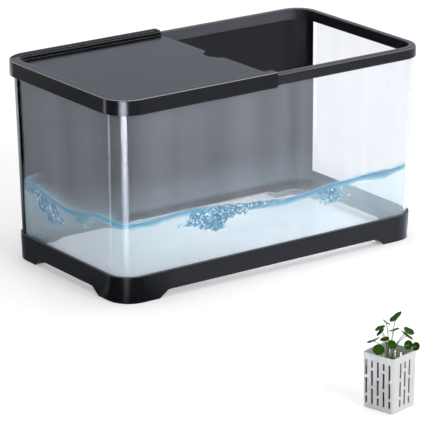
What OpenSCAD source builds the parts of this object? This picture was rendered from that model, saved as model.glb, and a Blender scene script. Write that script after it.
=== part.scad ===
// Aquarium starter kit: a clear moulded tank on a black base, with a rim,
// a half cover, a black background film and a planting basket with its plant.
// Millimetres, +Z up. The floor is at z = 0, and the origin lies under the
// middle of the space that the whole set takes up.

/* [Tank] */
// Length of the tank at its top edge
tank_len = 395; // [330:1:600]
// Depth of the tank from front to back at its top edge
tank_wid = 217; // [170:1:360]
// Height of the tank from the underside of its floor to its top edge
tank_h = 205.5; // [150:0.5:320]
// Distance that each wall leans in between the top edge and the floor
tank_draft = 4; // [0:0.5:6]
// Thickness of the clear walls
wall_t = 3; // [2:0.5:4]
// Thickness of the clear floor
floor_t = 4; // [3:0.5:8]
// Outside radius of the upright corners
corner_r = 25; // [22:1:40]
// Outside radius of the rounding between the walls and the floor
floor_r = 8; // [6:0.5:12]

/* [Top rim] */
// Height of the rim's two walls
rim_h = 12; // [8:0.5:20]
// Thickness of the rim's walls and roof
rim_t = 2; // [1.5:0.5:2.5]
// Clearance between each of the rim's walls and the tank
rim_gap = 0.5; // [0.3:0.1:1]
// Radius of the rim's outer top edge
rim_edge_r = 3; // [0.5:0.5:3]
// Radius of the rim's inner top edge
rim_inner_r = 1; // [0.5:0.5:2]

/* [Half cover] */
// Distance from the cover's left end to its free edge
cover_span = 201; // [120:1:260]
// Height of the cover's skirt, outside
cover_h = 16.5; // [12:0.5:24]
// Thickness of the cover's walls and border
cover_t = 3; // [2:0.5:4]
// Radius of the cover's outer top edge
cover_edge_r = 1.2; // [0.5:0.1:1.5]
// Clearance between the cover and the rim, inside and outside
cover_gap = 0.5; // [0.3:0.1:1]
// Depth of the panel below the border's top
panel_drop = 5; // [4:0.5:10]
// Thickness of the panel
panel_t = 2; // [1.5:0.5:3]
// Width of the small ledge inside the border
ledge_w = 2.5; // [1.5:0.5:3.5]
// Drop from the border's top to the small ledge
ledge_drop = 1.6; // [1:0.1:2]
// Radius of the finger notch in the free edge
notch_r = 19; // [12:1:30]
// Depth of the finger notch
notch_depth = 11; // [5:1:11]

/* [Base] */
// Height from the floor to the base's top edge
base_h = 29.5; // [24:0.5:50]
// Thickness of the base's walls
base_t = 2; // [1.5:0.5:4]
// Clearance between the base and the tank
base_gap = 0.4; // [0.3:0.1:1]
// Distance that the base's outer wall leans in towards the floor
base_draft = 1; // [0:0.5:1]
// Radius of the base's outer top edge
base_edge_r = 1; // [0.5:0.1:1.5]
// Height of the arches between the feet
arch_h = 8; // [5:0.5:12]
// Radius of an arch's two upper corners
arch_r = 5; // [1:0.5:5]
// Thickness of the ledge that the tank stands on
seat_t = 2.5; // [2:0.5:5]
// Width of that ledge, measured from the base's outer face
seat_w = 14; // [10:0.5:20]
// Length of a foot on the long sides
foot_len = 48; // [34:1:90]
// Length of a foot on the short sides
foot_wid = 46; // [34:1:70]
// Run of the slope at the end of a foot
foot_slope = 11; // [2:1:20]
// Thickness of the webs inside a foot
web_t = 2; // [1:0.5:3]

/* [Background film] */
// Thickness of the film
film_t = 0.4; // [0.2:0.1:0.8]
// Clearance of the film behind the tank, and above and below it
film_gap = 0.1; // [0.05:0.05:0.3]
// Distance that the film reaches forward along each side of the tank
film_reach = 28; // [10:1:80]

/* [Planting basket] */
// Width of the basket at its top
basket_w = 37; // [34:0.5:80]
// Height of the basket
basket_h = 55; // [50:0.5:120]
// Thickness of the basket's walls and floor
basket_t = 1.2; // [1:0.1:2.5]
// Distance that each wall leans in towards the floor
basket_draft = 0.8; // [0:0.1:2]
// Outside radius of the basket's corners
basket_r = 3.5; // [3.5:0.5:8]
// Rounding of the basket's lower edges, inside and outside
basket_edge_r = 1; // [0.4:0.1:1]
// Width of a slot
slot_w = 2.4; // [1.5:0.1:3]
// Distance between neighbouring slots
slot_pitch = 6.8; // [5:0.1:6.8]
// Length of a long slot
slot_long = 15.5; // [8:0.5:16]
// Height of the bar between two slots of one column
slot_bar = 2.7; // [1.5:0.1:4]
// Height of the plain band above the slots
slot_top = 6.5; // [4:0.5:8]
// Height of the plain band below the slots
slot_bottom = 5; // [3:0.5:7]
// Slot columns in each wide face
wide_columns = 5; // [3:2:5]
// Slot columns in each narrow face
narrow_columns = 3; // [1:2:5]
// Turn of the basket seen from above, in degrees
basket_turn = 14; // [0:1:90]
// Distance from the cover's front to the middle of the basket
stand_off = 367; // [60:1:500]
// Distance of the basket to the left of the tank's middle
basket_aside = 144; // [0:1:170]

/* [Plant] */
// Height of the sponge that fills the lower basket
sponge_h = 40; // [15:1:44]
// Clearance between the sponge and the rounding at the basket's foot
sponge_gap = 0.1; // [0.1:0.1:1]
// Thickness of a leaf
leaf_t = 0.5; // [0.4:0.1:1]
// Depth of a leaf's shallow dish, as a share of its radius
leaf_dish = 0.18; // [0.05:0.01:0.3]
// Diameter of a stem
stem_d = 1.1; // [0.8:0.1:2]
// Diameter of the crown that the stems grow from
crown_d = 6.5; // [5:0.5:12]
// Height of the crown
crown_h = 3; // [2:0.5:6]

/* [Hidden] */
$fn = 64;
eps = 0.01;
over = 1;

// Heights of the tank's parts above the floor
seat_z = arch_h + seat_t;
tank_top = seat_z + tank_h;
rim_top = tank_top + rim_t;
rim_bottom = rim_top - rim_h;
cover_top = rim_top + cover_t;

// Lean of the tank's walls for each millimetre of height
lean = tank_draft / tank_h;
base_lean = lean * (tank_top - base_h);

// Outlines
rim_len = tank_len + 2 * (rim_gap + rim_t);
rim_wid = tank_wid + 2 * (rim_gap + rim_t);
rim_w = wall_t + 2 * (rim_gap + rim_t);
rim_r = corner_r + rim_gap + rim_t;
cover_reach = cover_gap + rim_t;
cover_len = rim_len + 2 * cover_reach;
cover_wid = rim_wid + 2 * cover_reach;
cover_r = rim_r + cover_reach;
cover_band = cover_reach + rim_w + cover_gap + rim_t;
cut_x = -cover_len / 2 + cover_span;
base_len = tank_len - 2 * base_lean + 2 * (base_gap + base_t);
base_wid = tank_wid - 2 * base_lean + 2 * (base_gap + base_t);
base_r = corner_r + base_gap + base_t;

// Slots of the basket
slot_short = basket_h - slot_top - slot_bottom - 2 * (slot_long + slot_bar);

// Places of the tank and the basket
basket_reach = (basket_w / 2 - basket_r) * (cos(basket_turn) + sin(basket_turn)) + basket_r;
tank_x = cover_reach / 2;
tank_y = (stand_off + basket_reach) / 2;
basket_x = tank_x - basket_aside;
basket_y = tank_y - cover_wid / 2 - stand_off;

// Leaves: direction seen from above, distance from the basket's middle, height
// above its top, radius, and then the direction and angle of the blade's tilt.
// Lengths are in hundredths of the basket's width.
leaf_unit = basket_w / 100;
leaves = [
    [181, 47, 15, 15, 217, 46],
    [237, 16, 21, 13, 254, 40],
    [301, 48, 18, 12, 189, 67],
    [308, 67, 12, 11, 187, 67],
    [335, 53, 43, 15, 281, 29],
    [12, 38, 77, 19, 134, 39],
    [101, 27, 54, 14, 129, 23],
    [114, 24, 46, 13, 133, 46],
    [151, 14, 31, 12, 163, 13],
    [51, 41, 60, 12, 326, 36],
    [21, 37, 41, 15, 84, 21],
    [325, 44, 35, 19, 325, 39],
    [116, 41, 22, 19, 98, 29]
];

function arc(cx, cy, r, from, to, n = 5) =
    [for (i = [0:n]) let (a = from + (to - from) * i / n) [cx + r * cos(a), cy + r * sin(a)]];

// Flat outline with round corners
module rounded_rect(len, wid, r) {
    square([len - 2 * r, wid], center = true);
    square([len, wid - 2 * r], center = true);
    for (x = [-1, 1], y = [-1, 1])
        translate([x * (len / 2 - r), y * (wid / 2 - r)])
            circle(r);
}

module rounded_slab(len, wid, r) {
    linear_extrude(eps)
        rounded_rect(len, wid, r);
}

// Block whose walls lean out by wall_lean for each millimetre up to the size
// len by wid at its top, with its lower edge rounded
module leaning_block(len, wid, r, h, wall_lean, edge_r) {
    steps = 5;
    hull() {
        translate([0, 0, h - eps])
            rounded_slab(len, wid, r);
        for (i = [0:steps]) {
            a = 90 * i / steps;
            z = edge_r * (1 - cos(a));
            inset = edge_r * (1 - sin(a)) + wall_lean * (h - z);
            translate([0, 0, z])
                rounded_slab(len - 2 * inset, wid - 2 * inset, r - edge_r * (1 - sin(a)));
        }
    }
}

// Runs a profile round an outline of len by wid with corners of radius r. In
// the profile x = 0 is the outer face, -x points inwards and y is the height.
module run_round(len, wid, r) {
    for (k = [0:3]) {
        a = k % 2 == 0 ? len : wid;
        b = k % 2 == 0 ? wid : len;
        rotate([0, 0, 90 * k]) {
            translate([a / 2, b / 2 - r, 0])
                rotate([90, 0, 0])
                    linear_extrude(b - 2 * r)
                        children();
            translate([a / 2 - r, b / 2 - r, 0])
                rotate_extrude(angle = 90)
                    translate([r, 0])
                        children();
        }
    }
}

module at_tank() {
    translate([tank_x, tank_y, 0])
        children();
}

module at_basket() {
    translate([basket_x, basket_y, 0])
        rotate([0, 0, basket_turn])
            children();
}

// Outer skin of the tank, grown by a given distance
module tank_skin(grow) {
    translate([0, 0, seat_z])
        leaning_block(tank_len + 2 * grow, tank_wid + 2 * grow, corner_r + grow,
                      tank_h, lean, floor_r);
}

// Clear tank, moulded in one piece with its floor
module tank_body() {
    hollow_len = tank_len - 2 * wall_t + 2 * lean * over;
    hollow_wid = tank_wid - 2 * wall_t + 2 * lean * over;
    color([0.85, 0.9, 0.92, 0.35])
        at_tank()
            difference() {
                tank_skin(0);
                translate([0, 0, seat_z + floor_t])
                    leaning_block(hollow_len, hollow_wid, corner_r - wall_t,
                                  tank_h - floor_t + over, lean, floor_r - wall_t);
            }
}

module base_profile() {
    inner = -seat_w + base_t;
    polygon(concat(
        [[-base_draft, 0]],
        arc(-base_edge_r, base_h - base_edge_r, base_edge_r, 0, 90),
        [[-base_t, base_h], [-base_t, seat_z], [-seat_w, seat_z], [-seat_w, 0], [inner, 0], [inner, arch_h],
         [-base_t - base_draft, arch_h], [-base_t - base_draft, 0]]
    ));
}

// Opening with sloped ends and round upper corners between two feet, length
// being its width on the floor
module foot_arch(length, through) {
    half = length / 2;
    slope = atan2(arch_h, foot_slope);
    x = half - foot_slope - arch_r * tan(slope / 2);
    rotate([90, 0, 0])
        linear_extrude(through, center = true)
            polygon(concat(
                [[-half, -over], [half, -over], [half, 0]],
                arc(x, arch_h - arch_r, arch_r, 90 - slope, 90),
                arc(-x, arch_h - arch_r, arch_r, 90, 90 + slope),
                [[-half, 0]]
            ));
}

// Black base: an outer wall, a ledge for the tank and four hollow feet
module base_frame() {
    web_reach = seat_w - base_t;
    long_web = base_len / 2 - foot_len + web_t;
    short_web = base_wid / 2 - foot_wid + web_t;
    color([0.09, 0.09, 0.1])
        at_tank() {
            difference() {
                run_round(base_len, base_wid, base_r)
                    base_profile();
                foot_arch(base_len - 2 * foot_len, base_wid + over);
                rotate([0, 0, 90])
                    foot_arch(base_wid - 2 * foot_wid, base_len + over);
            }
            for (x = [-1, 1], y = [-1, 1]) {
                translate([x * long_web - web_t / 2, y * (base_wid / 2 - seat_w / 2) - web_reach / 2, 0])
                    cube([web_t, web_reach, arch_h + eps]);
                translate([x * (base_len / 2 - seat_w / 2) - web_reach / 2, y * short_web - web_t / 2, 0])
                    cube([web_reach, web_t, arch_h + eps]);
            }
        }
}

module rim_profile() {
    polygon(concat(
        [[0, 0]],
        arc(-rim_edge_r, rim_h - rim_edge_r, rim_edge_r, 0, 90),
        arc(-rim_w + rim_inner_r, rim_h - rim_inner_r, rim_inner_r, 90, 180),
        [[-rim_w, 0], [-rim_w + rim_t, 0], [-rim_w + rim_t, rim_h - rim_t],
         [-rim_t, rim_h - rim_t], [-rim_t, 0]]
    ));
}

// Black rim, an upturned channel that caps the tank's top edge
module top_rim() {
    color([0.1, 0.1, 0.11])
        at_tank()
            translate([0, 0, rim_bottom])
                run_round(rim_len, rim_wid, rim_r)
                    rim_profile();
}

module cover_profile() {
    inner = -cover_band + rim_t;
    panel_z = cover_top - panel_drop;
    polygon(concat(
        [[0, cover_top - cover_h]],
        arc(-cover_edge_r, cover_top - cover_edge_r, cover_edge_r, 0, 90),
        [[-cover_band + ledge_w, cover_top], [-cover_band + ledge_w, cover_top - ledge_drop],
         [-cover_band, cover_top - ledge_drop], [-cover_band, panel_z - panel_t],
         [inner, panel_z - panel_t], [inner, rim_top], [-rim_t, rim_top],
         [-rim_t, cover_top - cover_h]]
    ));
}

// Black cover over the left half: a skirt and border hooked over the rim on
// three sides, and a sunk panel with a finger notch in its free edge
module half_cover() {
    panel_z = cover_top - panel_drop;
    inset = 2 * (cover_band - rim_t / 2);
    color([0.2, 0.2, 0.22])
        at_tank()
            intersection() {
                difference() {
                    union() {
                        run_round(cover_len, cover_wid, cover_r)
                            cover_profile();
                        translate([0, 0, panel_z - panel_t])
                            linear_extrude(panel_t)
                                rounded_rect(cover_len - inset, cover_wid - inset, cover_r - inset / 2);
                    }
                    translate([cut_x + notch_r - notch_depth, 0, 0])
                        cylinder(r = notch_r, h = cover_top + over);
                }
                translate([-cover_len, -cover_wid, 0])
                    cube([cut_x + cover_len, 2 * cover_wid, cover_top + over]);
            }
}

// Black film behind the rear wall, bent round both rear corners onto the sides
module background_film() {
    low = base_h + film_gap;
    high = rim_bottom - film_gap;
    color([0.05, 0.05, 0.06])
        at_tank()
            intersection() {
                difference() {
                    tank_skin(film_gap + film_t);
                    tank_skin(film_gap);
                }
                translate([-tank_len, tank_wid / 2 - film_reach, low])
                    cube([2 * tank_len, tank_wid, high - low]);
            }
}

// Column of three slots: a short one at the top or at the bottom
module slot_column(x, short_on_top, through) {
    lengths = short_on_top ? [slot_long, slot_long, slot_short] : [slot_short, slot_long, slot_long];
    for (i = [0:2]) {
        below = i == 0 ? 0 : i == 1 ? lengths[0] : lengths[0] + lengths[1];
        translate([x - slot_w / 2, -through / 2, slot_bottom + below + i * slot_bar])
            cube([slot_w, through, lengths[i]]);
    }
}

module slot_field(columns) {
    for (i = [0:columns - 1])
        slot_column((i - (columns - 1) / 2) * slot_pitch, i % 2 == 1, 2 * basket_w);
}

// Basket of pale plastic with staggered upright slots and a slotted floor
module planting_basket() {
    basket_lean = basket_draft / basket_h;
    hollow_w = basket_w - 2 * basket_t + 2 * basket_lean * over;
    color([0.82, 0.82, 0.84])
        at_basket()
            difference() {
                leaning_block(basket_w, basket_w, basket_r, basket_h, basket_lean, basket_edge_r);
                translate([0, 0, basket_t])
                    leaning_block(hollow_w, hollow_w, basket_r - basket_t,
                                  basket_h - basket_t + over, basket_lean, basket_edge_r);
                slot_field(narrow_columns);
                rotate([0, 0, 90])
                    slot_field(wide_columns);
                for (i = [-1:1])
                    translate([i * slot_pitch - slot_w / 2, -slot_long / 2, -over])
                        cube([slot_w, slot_long, basket_t + 2 * over]);
            }
}

// Dark sponge in the lower basket, which holds the roots
module planting_sponge() {
    basket_lean = basket_draft / basket_h;
    inset = basket_t + basket_edge_r + sponge_gap + basket_lean * (basket_h - basket_t);
    side = basket_w - 2 * inset;
    color([0.13, 0.12, 0.11])
        at_basket()
            translate([0, 0, basket_t])
                linear_extrude(sponge_h)
                    rounded_rect(side, side, basket_r - basket_t);
}

// Round leaf blade, a shallow dish about its own axis
module leaf_blade(r) {
    dish = leaf_dish * r;
    rotate_extrude($fn = 32)
        polygon([
            [0, 0], [r * 0.55, dish * 0.35], [r, dish], [r, dish + leaf_t * 0.6],
            [r * 0.55, dish * 0.35 + leaf_t], [0, leaf_t]
        ]);
}

// Points of a stem that rises from the crown and bends out to its leaf
function stem_point(tip, foot, t) =
    let (bend = [tip[0] * 0.25, tip[1] * 0.25, foot[2] + (tip[2] - foot[2]) * 0.8])
    (1 - t) * (1 - t) * foot + 2 * t * (1 - t) * bend + t * t * tip;

// Stem as a tube with rings square to the way up
module stem(foot, tip) {
    rings = 9;
    sides = 6;
    points = [for (i = [0:rings], j = [0:sides - 1])
        stem_point(tip, foot, i / rings)
            + stem_d / 2 * (1 - 0.35 * i / rings) * [cos(360 * j / sides), sin(360 * j / sides), 0]];
    walls = [for (i = [0:rings - 1], j = [0:sides - 1])
        [(i + 1) * sides + j, (i + 1) * sides + (j + 1) % sides,
         i * sides + (j + 1) % sides, i * sides + j]];
    bottom = [[for (j = [0:sides - 1]) j]];
    top = [[for (j = [0:sides - 1]) (rings + 1) * sides - 1 - j]];
    polyhedron(points, concat(bottom, walls, top), convexity = 4);
}

// Round-leaved plant: a crown on the sponge, curved stems and dished leaves
module plant() {
    crown_z = basket_t + sponge_h;
    color([0.13, 0.4, 0.08])
        at_basket() {
            translate([0, 0, crown_z])
                cylinder(d1 = crown_d, d2 = crown_d * 0.6, h = crown_h);
            for (leaf = leaves) {
                reach = leaf_unit * leaf[1];
                spot = [reach * cos(leaf[0]), reach * sin(leaf[0]), basket_h + leaf_unit * leaf[2]];
                root = [crown_d * 0.2 * cos(leaf[0]), crown_d * 0.2 * sin(leaf[0]), crown_z + crown_h / 2];
                stem(root, spot + [0, 0, leaf_t / 2]);
                translate(spot)
                    rotate([0, leaf[5], leaf[4]])
                        leaf_blade(leaf_unit * leaf[3]);
            }
        }
}

tank_body();
base_frame();
top_rim();
half_cover();
background_film();
planting_basket();
planting_sponge();
plant();
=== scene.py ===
# %% [markdown]
# # An aquarium starter kit
# A clear moulded tank stands on a black footed base. A black rim caps its edge, a half cover lies on the
# left, a black film covers the back, and a planting basket stands in front. The base, the rim, the cover
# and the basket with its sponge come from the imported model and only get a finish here. The clear tank, the
# film, the plant and the water are modelled here, because their look depends on smooth curves that the
# solids do not need.

# %% Load the frame
import math

import bmesh
import bpy
import numpy as np
from mathutils import Matrix, Vector, noise


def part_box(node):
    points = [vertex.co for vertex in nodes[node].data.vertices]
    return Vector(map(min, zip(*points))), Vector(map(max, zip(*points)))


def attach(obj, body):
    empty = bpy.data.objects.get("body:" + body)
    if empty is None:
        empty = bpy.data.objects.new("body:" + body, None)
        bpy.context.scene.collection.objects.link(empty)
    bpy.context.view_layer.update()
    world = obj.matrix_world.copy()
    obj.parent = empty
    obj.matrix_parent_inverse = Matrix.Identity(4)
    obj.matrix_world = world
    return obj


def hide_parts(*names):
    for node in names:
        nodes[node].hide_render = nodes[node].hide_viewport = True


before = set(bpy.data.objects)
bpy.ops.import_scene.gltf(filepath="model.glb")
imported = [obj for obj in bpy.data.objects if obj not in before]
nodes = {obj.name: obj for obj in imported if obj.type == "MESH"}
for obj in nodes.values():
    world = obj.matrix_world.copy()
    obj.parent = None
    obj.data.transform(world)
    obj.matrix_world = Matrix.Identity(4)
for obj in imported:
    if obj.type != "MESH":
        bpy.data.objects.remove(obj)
scene = bpy.context.scene
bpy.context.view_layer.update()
MM = 0.001
print("nodes:", sorted(nodes))

# %% [markdown]
# ## Reading sizes from the frame
# Every piece made here takes its place from the box of the node that it stands for, so nothing has to be
# fitted by eye. The few wall thicknesses that a box cannot tell are named values.

# %% Sizes of the tank
tank_low, tank_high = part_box("tank_body")
base_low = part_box("base_frame")[0]
basket_low, basket_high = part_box("planting_basket")
tank_mid = (tank_low + tank_high) / 2
basket_mid = (basket_low + basket_high) / 2
tank_len = tank_high.x - tank_low.x
tank_wid = tank_high.y - tank_low.y
tank_h = tank_high.z - tank_low.z
WALL = 3 * MM
FLOOR = 4 * MM
CORNER = 25 * MM
FLOOR_ROUND = 8 * MM
LEANS_IN = 4 * MM
LEAN = LEANS_IN / tank_h
print("tank", [round(v / MM, 1) for v in (tank_len, tank_wid, tank_h)])

# %% [markdown]
# ## The camera
# The picture was taken from the front left with a long lens, about 18 degrees above the tank. The values
# below came from fitting a pinhole camera to the edges of the base, the rim and the cover. A long lens
# far away keeps parallel edges nearly parallel, which is why the tank looks so square in the picture.

# %% Camera
PHOTO_WIDTH = 428
FOCAL_PIXELS = 3026
SENSOR = 36
AZIMUTH = -0.6185
ELEVATION = 0.3141
ROLL = -0.005
DISTANCE = 3.271
AIM_LEFT = 14.5 * MM
AIM_FRONT = 15.6 * MM
AIM_HEIGHT = 45 * MM
aim = Vector((tank_mid.x - AIM_LEFT, tank_mid.y - AIM_FRONT, AIM_HEIGHT))
back = Vector((math.sin(AZIMUTH) * math.cos(ELEVATION), -math.cos(AZIMUTH) * math.cos(ELEVATION),
               math.sin(ELEVATION)))
level_right = (-back).cross(Vector((0, 0, 1))).normalized()
level_up = back.cross(level_right)
right = math.cos(ROLL) * level_right + math.sin(ROLL) * level_up
up = math.cos(ROLL) * level_up - math.sin(ROLL) * level_right
camera = bpy.data.objects.new("camera", bpy.data.cameras.new("camera"))
scene.collection.objects.link(camera)
camera.data.sensor_width = SENSOR
camera.data.lens = FOCAL_PIXELS / PHOTO_WIDTH * SENSOR
camera.data.clip_end = 50
facing = Matrix((right, up, back)).transposed().to_4x4()
camera.matrix_world = Matrix.Translation(aim + back * DISTANCE) @ facing
scene.camera = camera
scene.view_settings.view_transform = "Standard"
print("lens", round(camera.data.lens), "mm")

# %% [markdown]
# ## Materials as node trees
# Each finish is a Principled BSDF with small variations, because a real surface never has one colour and
# one gloss. What several finishes share is a node group: `Moulded grain` gives the fine pebbling of
# injection-moulded plastic, and `Handling marks` gives the faint clouds that fingers leave in the gloss.

# %% Helpers for node trees
def add(tree, kind, **values):
    """One node; values sets its properties, or its inputs by name with spaces as underscores."""
    node = tree.nodes.new(kind)
    for key, value in values.items():
        if hasattr(node, key):
            setattr(node, key, value)
        else:
            node.inputs[key.replace("_", " ")].default_value = value
    return node


def wire(tree, links):
    """Links nodes; each link names a node, its output, the next node and its input."""
    for source, output, target, socket in links:
        tree.links.new(source.outputs[output], target.inputs[socket])


def new_group(name, inputs, outputs):
    """A shader node group with named sockets: inputs maps a name to its default value."""
    group = bpy.data.node_groups.new(name, "ShaderNodeTree")
    for label, value in inputs.items():
        kind = "NodeSocketColor" if isinstance(value, tuple) else "NodeSocketFloat"
        socket = group.interface.new_socket(name=label, in_out="INPUT", socket_type=kind)
        socket.default_value = value
    for label, kind in outputs.items():
        group.interface.new_socket(name=label, in_out="OUTPUT", socket_type=kind)
    start = group.nodes.new("NodeGroupInput")
    end = group.nodes.new("NodeGroupOutput")
    return group, start, end


def use_group(tree, group, **values):
    """A group placed in a material, with its own input values."""
    node = tree.nodes.new("ShaderNodeGroup")
    node.node_tree = group
    for key, value in values.items():
        node.inputs[key.replace("_", " ")].default_value = value
    return node


def new_material(name):
    """A material with its node tree and its Principled BSDF."""
    material = bpy.data.materials.new(name)
    material.use_nodes = True
    tree = material.node_tree
    return material, tree, tree.nodes["Principled BSDF"]


def dress(thing, material):
    """Gives a piece that one material."""
    thing.data.materials.clear()
    thing.data.materials.append(material)


print("helpers ready")

# %% Group: moulded grain
grain, start, end = new_group("Moulded grain", {"Scale": 900.0, "Softness": 0.5},
                              {"Height": "NodeSocketFloat"})
place = add(grain, "ShaderNodeTexCoord")
pebbles = add(grain, "ShaderNodeTexVoronoi", feature="SMOOTH_F1")
fuzz = add(grain, "ShaderNodeTexNoise", Detail=3.0)
blend = add(grain, "ShaderNodeMix", data_type="FLOAT")
wire(grain, [
    (place, "Object", pebbles, "Vector"),
    (place, "Object", fuzz, "Vector"),
    (start, "Scale", pebbles, "Scale"),
    (start, "Scale", fuzz, "Scale"),
    (start, "Softness", blend, "Factor"),
    (pebbles, "Distance", blend, "A"),
    (fuzz, "Fac", blend, "B"),
    (blend, "Result", end, "Height"),
])
print("group", grain.name)

# %% Group: handling marks
marks, start, end = new_group("Handling marks", {"Scale": 14.0, "Low": 0.2, "High": 0.35},
                              {"Roughness": "NodeSocketFloat", "Cloud": "NodeSocketFloat"})
place = add(marks, "ShaderNodeTexCoord")
cloud = add(marks, "ShaderNodeTexNoise", Detail=6.0, Roughness=0.62, Distortion=0.6)
spread = add(marks, "ShaderNodeMapRange", From_Min=0.3, From_Max=0.7)
wire(marks, [
    (place, "Object", cloud, "Vector"),
    (start, "Scale", cloud, "Scale"),
    (cloud, "Fac", spread, "Value"),
    (start, "Low", spread, "To Min"),
    (start, "High", spread, "To Max"),
    (spread, "Result", end, "Roughness"),
    (cloud, "Fac", end, "Cloud"),
])
print("group", marks.name)

# %% [markdown]
# ## Studio
# A pale floor, a white surround and three soft lamps. So it comes from Light Path: a ray from the
# camera, a mirror-like ray or a ray through the clear walls sees a surround of strength 1, while the
# light that falls on the pieces stays gentle. The floor glows a little for the same rays. What is
# mirrored is slightly blue, and at this low angle it turns the flat black tops grey.

# %% Rays that see the studio
def seeing_rays(tree):
    """Light Path, and a value of one for rays from the camera, a mirror or through the clear walls."""
    ray = add(tree, "ShaderNodeLightPath")
    seen = add(tree, "ShaderNodeMath", operation="ADD")
    seen_too = add(tree, "ShaderNodeMath", operation="ADD", use_clamp=True)
    wire(tree, [
        (ray, "Is Camera Ray", seen, 0),
        (ray, "Is Glossy Ray", seen, 1),
        (seen, 0, seen_too, 0),
        (ray, "Is Transmission Ray", seen_too, 1),
    ])
    return ray, seen_too.outputs[0]


COOL = (0.83, 0.87, 1.0, 1)
print("mirrored light", COOL[:3])

# %% Surround
SURROUND_LIGHT = 0.5
world = bpy.data.worlds.new("surround")
scene.world = world
world.use_nodes = True
tree = world.node_tree
ray, seen = seeing_rays(tree)
level = add(tree, "ShaderNodeMapRange", To_Min=SURROUND_LIGHT, To_Max=1.0)
tree.links.new(seen, level.inputs["Value"])
tree.links.new(level.outputs["Result"], tree.nodes["Background"].inputs["Strength"])
sky = add(tree, "ShaderNodeMix", data_type="RGBA")
sky.inputs["A"].default_value = (1, 1, 1, 1)
sky.inputs["B"].default_value = COOL
tree.links.new(ray.outputs["Is Glossy Ray"], sky.inputs["Factor"])
tree.links.new(sky.outputs["Result"], tree.nodes["Background"].inputs["Color"])
print("surround light", SURROUND_LIGHT)

# %% Floor
FLOOR_SIZE = 16
FLOOR_GLOW = 0.32
bpy.ops.mesh.primitive_grid_add(x_subdivisions=4, y_subdivisions=4, size=FLOOR_SIZE)
ground = bpy.context.object
ground.name = "floor"
material, tree, shader = new_material("pale floor")
shader.inputs["Base Color"].default_value = (0.82, 0.82, 0.82, 1)
shader.inputs["Roughness"].default_value = 0.9
shader.inputs["Specular IOR Level"].default_value = 0.0
ray, seen = seeing_rays(tree)
glow = add(tree, "ShaderNodeMath", operation="MULTIPLY")
glow.inputs[1].default_value = FLOOR_GLOW
tree.links.new(seen, glow.inputs[0])
shader.inputs["Emission Color"].default_value = (1, 1, 1, 1)
tree.links.new(glow.outputs[0], shader.inputs["Emission Strength"])
dress(ground, material)
print("floor glow", FLOOR_GLOW)

# %% [markdown]
# ### What the walls mirror
# Upright walls seen from above mirror the ground in front of them, so a studio lays cards there: bright
# ones draw highlights down the round corner of the tank, dark ones give the corner its deep edges. Many
# small cards could do it, but their edges would show as hard lines. So one fan lies round the foot of the
# front left corner, and its glow runs softly from angle to angle and from ring to ring. It is dim near the
# tank, where the base would mirror it, and bright far out, where the tank and the cover's skirt do. Only
# rays from a mirror-like surface can see it.

# %% Reflector fan
FAN_STEP = 2
FAN_FROM = -90
FAN_TO = 180
FAN_LIFT = 1 * MM
# Reach of each ring in metres, then its glow by angle in degrees: -90 is behind, 0 left, 90 in front and
# 180 right
FAN_RINGS = [
    (0.002, {-90: 0.1, 180: 0.1}),
    (0.095, {-90: 0.4, -42: 0.4, -36: 1.2, -30: 1.2, -25: 0.1, 34: 0.1, 42: 5, 52: 5, 60: 0.1, 110: 0.3,
             140: 2.4, 180: 2.6}),
    (0.3, {-90: 0.4, -42: 0.4, -36: 10, -30: 10, -25: 0.2, 28: 0.2, 34: 20, 46: 46, 56: 38, 62: 1, 76: 0.3,
           88: 2, 100: 1.2, 150: 1.4, 165: 2.6, 180: 2.6}),
    (0.9, {-90: 0.4, -86: 14, -79: 14, -75: 0.5, -42: 0.5, -36: 18, -30: 18, -25: 0.2, 28: 0.2, 34: 74,
           46: 156, 56: 124, 62: 3, 76: 0.3, 88: 3, 100: 1.5, 125: 3.6, 160: 3.2, 180: 2.6}),
]
corner_foot = Vector((base_low.x + CORNER, base_low.y + CORNER, FAN_LIFT))
angles = list(range(FAN_FROM, FAN_TO + 1, FAN_STEP))
points, faces, levels = [], [], []
for (inner_reach, inner_glow), (reach, outer_glow) in zip(FAN_RINGS, FAN_RINGS[1:]):
    inner = np.interp(angles, sorted(inner_glow), [inner_glow[a] for a in sorted(inner_glow)])
    outer = np.interp(angles, sorted(outer_glow), [outer_glow[a] for a in sorted(outer_glow)])
    for i, angle in enumerate(angles):
        spoke = Vector((-math.cos(math.radians(angle)), -math.sin(math.radians(angle)), 0))
        points += [corner_foot + inner_reach * spoke, corner_foot + reach * spoke]
        if i:
            last = len(points) - 1
            faces.append((last - 3, last - 1, last, last - 2))
            levels += [inner[i - 1], inner[i], outer[i], outer[i - 1]]
mesh = bpy.data.meshes.new("reflector fan")
mesh.from_pydata([tuple(p) for p in points], [], faces)
glow_layer = mesh.attributes.new("glow", "FLOAT", "CORNER")
glow_layer.data.foreach_set("value", np.array(levels, np.float32))
fan = bpy.data.objects.new("reflector fan", mesh)
scene.collection.objects.link(fan)
material, tree, shader = new_material("reflector card")
glow = add(tree, "ShaderNodeAttribute", attribute_name="glow")
shader.inputs["Base Color"].default_value = (0, 0, 0, 1)
shader.inputs["Specular IOR Level"].default_value = 0.0
shader.inputs["Emission Color"].default_value = COOL
tree.links.new(glow.outputs["Fac"], shader.inputs["Emission Strength"])
dress(fan, material)
fan.visible_camera = False
fan.visible_diffuse = False
fan.visible_transmission = False
fan.visible_shadow = False
print("fan of", len(faces), "slices")

# %% [markdown]
# ### Soft lamps
# Three large square lamps give the pieces their shape: one in front, one overhead and a weak one from the
# right. Large lamps draw soft shadows, as the floor round the base shows.

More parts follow.
